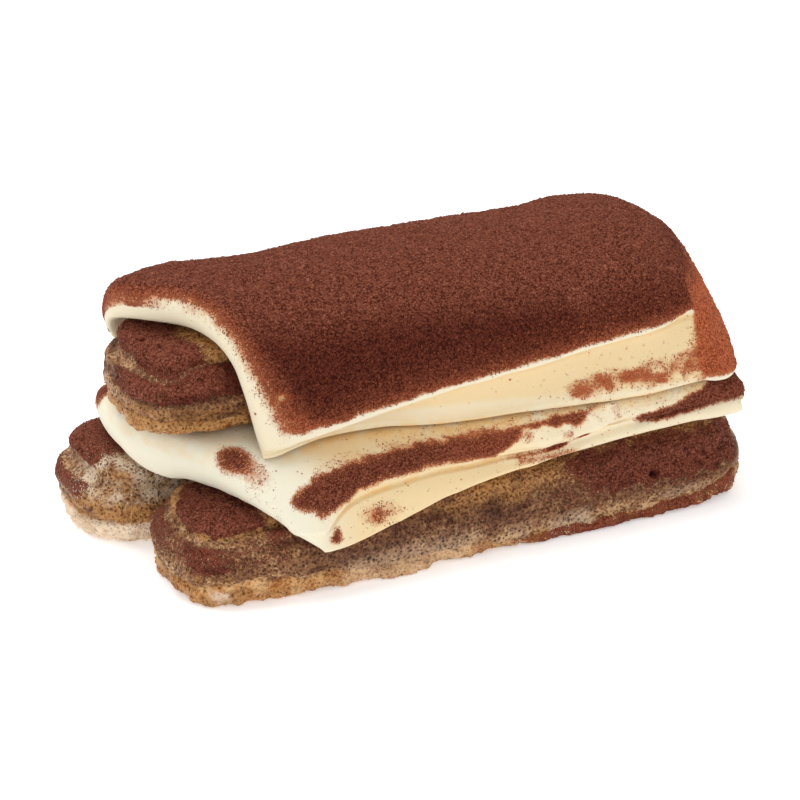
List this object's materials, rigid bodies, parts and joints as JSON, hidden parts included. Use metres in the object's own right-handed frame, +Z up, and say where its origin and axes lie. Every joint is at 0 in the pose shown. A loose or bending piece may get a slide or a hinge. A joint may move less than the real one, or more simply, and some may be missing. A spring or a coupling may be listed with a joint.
{
  "type": "tiramisu portion",
  "caption": "Portion of layered dessert: soaked ladyfinger biscuits under draped sheets of mascarpone cream dusted with cocoa, the upper sheet closing round its biscuit's end.",
  "frame": {"origin": "under the middle of the whole portion, on the surface that it stands on", "axes": "+X along the biscuits towards the end that the upper sheet closes over, -Y towards the folded front with its bare cream faces, +Z up"},
  "size_m": [0.1198, 0.064, 0.0516],
  "materials": {
    "soaked_biscuit": "soft porous sponge, damp, with a ragged sugar crust along its base",
    "mascarpone_cream": "smooth pale cream, soft sheen, partly dusted with cocoa",
    "cocoa_dusted_cream": "cream under an even dusting of dry cocoa powder"
  },
  "bodies": {
    "root": {"biscuit_lower_front": "soaked_biscuit", "biscuit_lower_back": "soaked_biscuit", "biscuit_upper": "soaked_biscuit", "cream_lower": "mascarpone_cream", "cream_upper": "cocoa_dusted_cream"}
  },
  "joints": []
}
